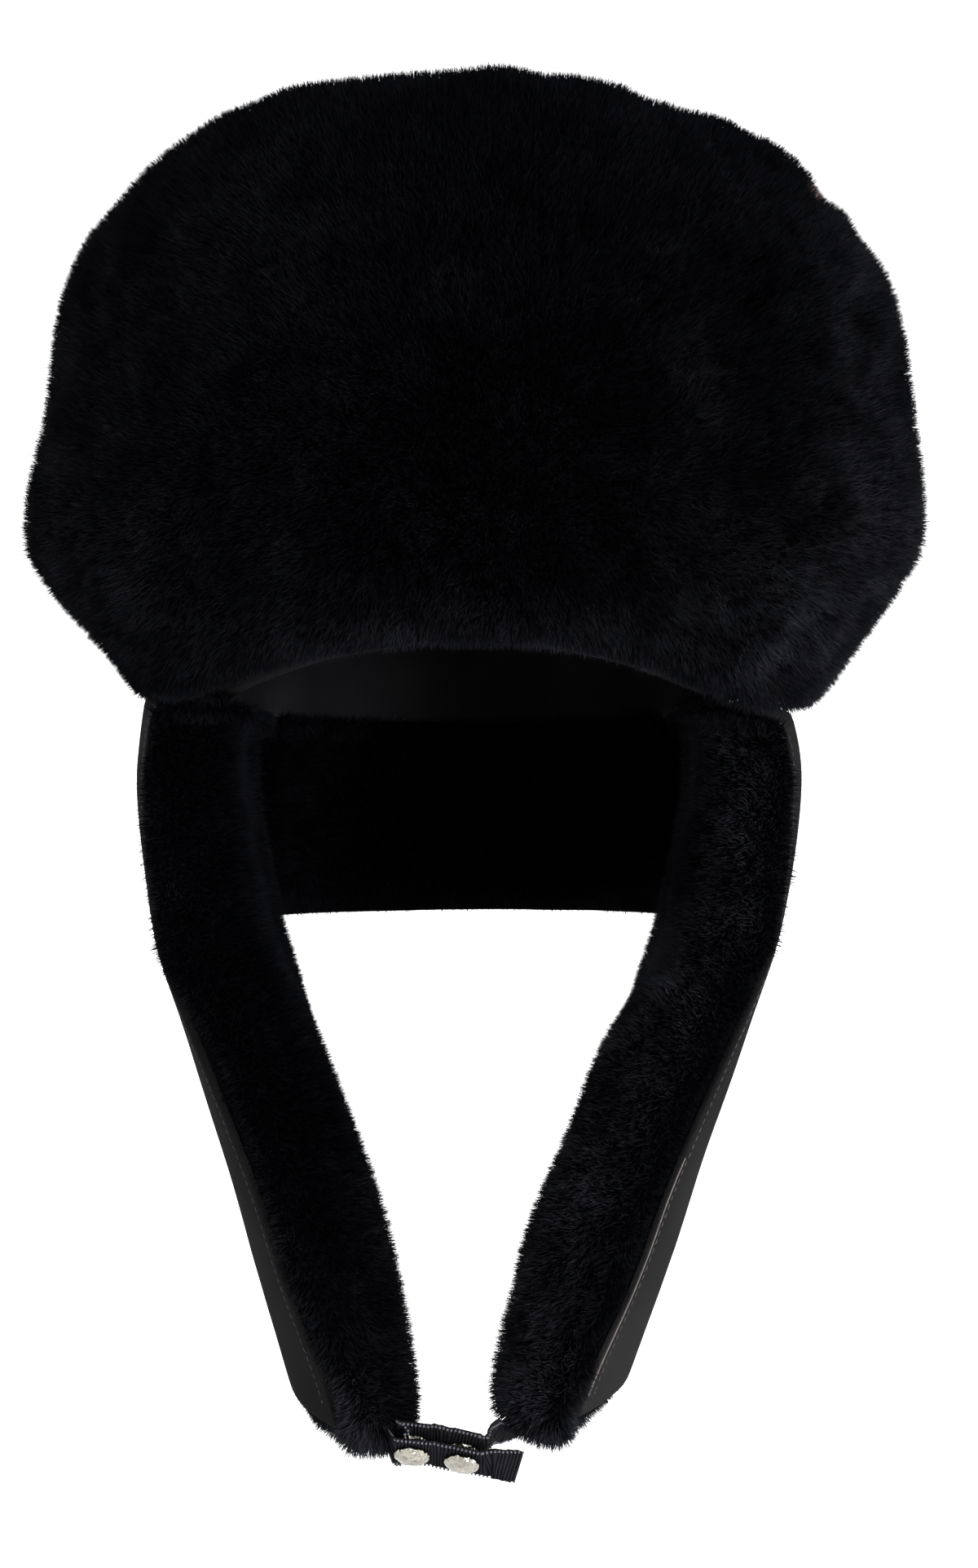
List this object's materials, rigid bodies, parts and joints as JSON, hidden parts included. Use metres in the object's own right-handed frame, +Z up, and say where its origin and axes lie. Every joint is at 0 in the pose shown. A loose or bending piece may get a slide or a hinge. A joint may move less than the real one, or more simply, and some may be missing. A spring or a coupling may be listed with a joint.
{
  "type": "ushanka",
  "caption": "Fur hat with a tall upright front flap, long fur-lined ear flaps hanging down, a nape flap and a snapped ribbon chin strap.",
  "frame": {"origin": "middle of the head opening at the height of the crown's side rim, where a head holds the hat", "axes": "+Z up through the crown, -Y the way the face looks, +X to the wearer's left"},
  "size_m": [0.2812, 0.276, 0.4204],
  "materials": {
    "fur": "dense black sheared fur, soft and nearly without shine",
    "crown_cloth": "smooth dark padded cloth",
    "shell_cloth": "smooth dark cloth with a slight sheen",
    "ribbon": "black ribbed grosgrain",
    "snap_metal": "bright hammered nickel"
  },
  "bodies": {
    "root": {"crown": "crown_cloth", "front_flap_fur": "fur", "front_flap_backing": "shell_cloth", "ear_flap_right_fur": "fur", "ear_flap_right_shell": "shell_cloth", "ear_flap_left_fur": "fur", "ear_flap_left_shell": "shell_cloth", "nape_flap_fur": "fur", "nape_flap_shell": "shell_cloth", "chin_strap_front": "ribbon", "chin_strap_back": "ribbon", "snap_cap_1": "snap_metal", "snap_cap_2": "snap_metal", "snap_socket_1": "snap_metal", "snap_socket_2": "snap_metal", "snap_stud_1": "snap_metal", "snap_stud_2": "snap_metal"}
  },
  "joints": []
}
